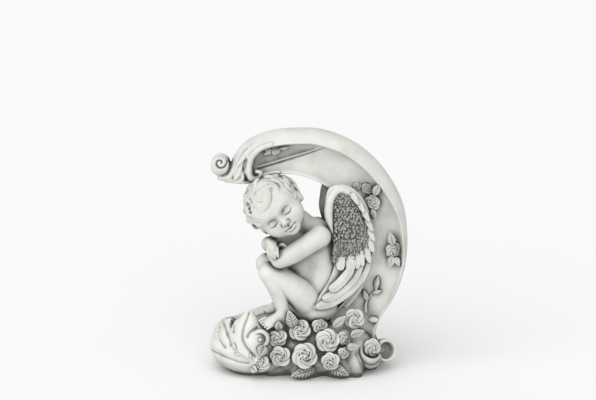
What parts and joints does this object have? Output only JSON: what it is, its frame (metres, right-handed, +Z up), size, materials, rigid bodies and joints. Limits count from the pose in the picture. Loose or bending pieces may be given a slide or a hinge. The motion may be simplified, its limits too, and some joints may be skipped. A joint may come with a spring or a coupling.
{
  "type": "grave angel figurine",
  "caption": "Cherub asleep on its folded arms, seated among roses inside a crescent leaf scroll, cast as one stone-coloured ornament on a flat foot.",
  "frame": {"origin": "on the flat underside, at the middle of the whole object's footprint box", "axes": "+Z up; +X along the base, away from the curled tip of the scroll; -Y to the front, where the face and the roses are"},
  "size_m": [0.162, 0.0854, 0.1999],
  "materials": {
    "cast_stone": "matt pale grey cast stone with a dark wash in the hollows"
  },
  "bodies": {
    "root": {"angel_figurine": "cast_stone"}
  },
  "joints": []
}
